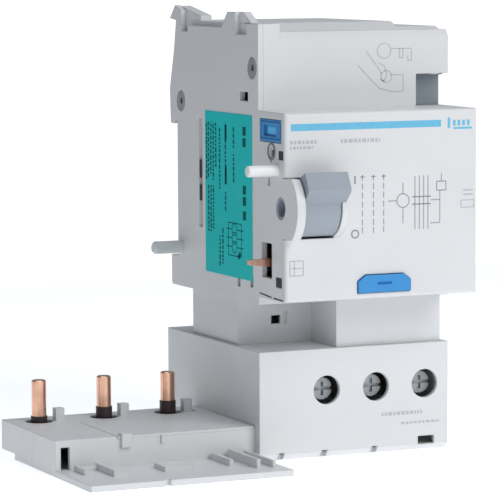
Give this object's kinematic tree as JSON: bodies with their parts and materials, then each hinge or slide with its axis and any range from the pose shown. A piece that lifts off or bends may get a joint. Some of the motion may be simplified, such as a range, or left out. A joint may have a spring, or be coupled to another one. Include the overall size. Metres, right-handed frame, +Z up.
{
  "type": "residual current device",
  "caption": "DIN-rail add-on residual current block with toggle, test button, coupling pins and a sliding lower terminal unit with plug pins.",
  "frame": {"origin": "centre of the rail seat, on the front face of the mounting rail", "axes": "+Y back into the rail, +Z up, +X right seen from the front; the lower unit is drawn down"},
  "size_m": [0.1054, 0.0813, 0.1122],
  "materials": {
    "case_white": "satin moulded plastic, off-white",
    "label": "matt printed label, teal",
    "grey_plastic": "satin moulded plastic, light grey",
    "pin_white": "satin moulded plastic, white",
    "toggle_grey": "satin moulded plastic, mid grey",
    "blue": "semi-gloss moulded plastic, blue",
    "steel": "zinc-plated steel",
    "spring_steel": "plated strip steel",
    "copper": "bright drawn copper",
    "collar_black": "dark insulating plastic",
    "ferrite": "dark sintered core",
    "winding": "enamelled copper wire",
    "relay_black": "black moulded plastic",
    "board": "glass-fibre circuit board",
    "component_blue": "dipped film capacitor",
    "component_tan": "lacquered resistor",
    "lead_insulation": "insulated flexible copper lead"
  },
  "bodies": {
    "housing": {"main_shell": "case_white", "left_cover": "case_white", "front_cover": "case_white", "neck_sleeve": "case_white", "rating_label": "label", "fixing_peg": "grey_plastic", "locating_pin": "pin_white", "case_rivets": "steel", "pivot_bracket": "steel", "test_contact": "copper", "test_spring": "spring_steel", "toroid_core": "ferrite", "sense_winding": "winding", "core_holder": "grey_plastic", "relay_case": "relay_black", "relay_lid": "relay_black", "relay_coil": "winding", "relay_magnet": "ferrite", "link_guide": "grey_plastic", "circuit_board": "board", "capacitor": "component_blue", "test_resistor": "component_tan"},
    "terminal_unit": {"terminal_front_shell": "case_white", "terminal_rear_shell": "case_white", "tray_cover": "case_white", "plug_pins": "copper", "pin_collars": "collar_black", "tray_bars": "copper", "load_bars": "copper", "phase_leads": "lead_insulation"},
    "toggle": {"toggle": "toggle_grey"},
    "trip_lever": {"trip_lever": "copper"},
    "relay_plunger": {"relay_plunger": "steel"},
    "trip_link": {"trip_link": "grey_plastic"},
    "test_button": {"test_button": "blue"},
    "lock_tab": {"lock_tab": "blue"},
    "rail_clip": {"rail_clip": "grey_plastic"},
    "terminal_screw_1": {"terminal_screw_1": "steel"},
    "terminal_cage_1": {"terminal_cage_1": "spring_steel"},
    "terminal_screw_2": {"terminal_screw_2": "steel"},
    "terminal_cage_2": {"terminal_cage_2": "spring_steel"},
    "terminal_screw_3": {"terminal_screw_3": "steel"},
    "terminal_cage_3": {"terminal_cage_3": "spring_steel"}
  },
  "joints": [
    {"name": "terminal_unit_slide", "type": "slide", "parent": "housing", "child": "terminal_unit", "axis": [0, 0, 1], "range_m": [0, 0.0117], "deforming": ["phase_leads"]},
    {"name": "toggle_turn", "type": "hinge", "parent": "housing", "child": "toggle", "pos_m": [-0.018, -0.0635, -0.0007], "axis": [1, 0, 0], "range_deg": [0, 68]},
    {"name": "trip_lever_turn", "type": "hinge", "parent": "housing", "child": "trip_lever", "pos_m": [-0.0228, -0.0614, -0.0146], "axis": [1, 0, 0], "range_deg": [0, 20]},
    {"name": "relay_plunger_slide", "type": "slide", "parent": "housing", "child": "relay_plunger", "axis": [-1, 0, 0], "range_m": [0, 0.0015]},
    {"name": "trip_link_slide", "type": "slide", "parent": "housing", "child": "trip_link", "axis": [-1, 0, 0], "range_m": [0, 0.0015]},
    {"name": "test_button_press", "type": "slide", "parent": "housing", "child": "test_button", "axis": [0, 1, 0], "range_m": [0, 0.0015], "stiffness_N_per_m": 400, "springref_m": -0.0005, "deforming": ["test_spring"]},
    {"name": "lock_tab_slide", "type": "slide", "parent": "housing", "child": "lock_tab", "axis": [-1, 0, 0], "range_m": [0, 0.003]},
    {"name": "rail_clip_slide", "type": "slide", "parent": "housing", "child": "rail_clip", "axis": [0, 0, 1], "range_m": [-0.0032, 0], "stiffness_N_per_m": 1500, "springref_m": 0.001},
    {"name": "screw_1_turn", "type": "hinge", "parent": "terminal_unit", "child": "terminal_screw_1", "pos_m": [-0.00776, -0.044, -0.0478], "axis": [0, 1, 0], "range_deg": [0, 1080]},
    {"name": "cage_1_lift", "type": "slide", "parent": "terminal_unit", "child": "terminal_cage_1", "axis": [0, -1, 0], "range_m": [0, 0.0029]},
    {"name": "screw_2_turn", "type": "hinge", "parent": "terminal_unit", "child": "terminal_screw_2", "pos_m": [0.00595, -0.044, -0.0478], "axis": [0, 1, 0], "range_deg": [0, 1080]},
    {"name": "cage_2_lift", "type": "slide", "parent": "terminal_unit", "child": "terminal_cage_2", "axis": [0, -1, 0], "range_m": [0, 0.0029]},
    {"name": "screw_3_turn", "type": "hinge", "parent": "terminal_unit", "child": "terminal_screw_3", "pos_m": [0.01966, -0.044, -0.0478], "axis": [0, 1, 0], "range_deg": [0, 1080]},
    {"name": "cage_3_lift", "type": "slide", "parent": "terminal_unit", "child": "terminal_cage_3", "axis": [0, -1, 0], "range_m": [0, 0.0029]}
  ],
  "couplings": [
    {"joint": "toggle_turn", "follows": "relay_plunger_slide", "rad_per_m": 790.8},
    {"joint": "trip_lever_turn", "follows": "relay_plunger_slide", "rad_per_m": 232.6},
    {"joint": "trip_link_slide", "follows": "relay_plunger_slide", "ratio": 1},
    {"joint": "screw_1_turn", "follows": "cage_1_lift", "rad_per_m": 6496.6},
    {"joint": "screw_2_turn", "follows": "cage_2_lift", "rad_per_m": 6496.6},
    {"joint": "screw_3_turn", "follows": "cage_3_lift", "rad_per_m": 6496.6}
  ]
}
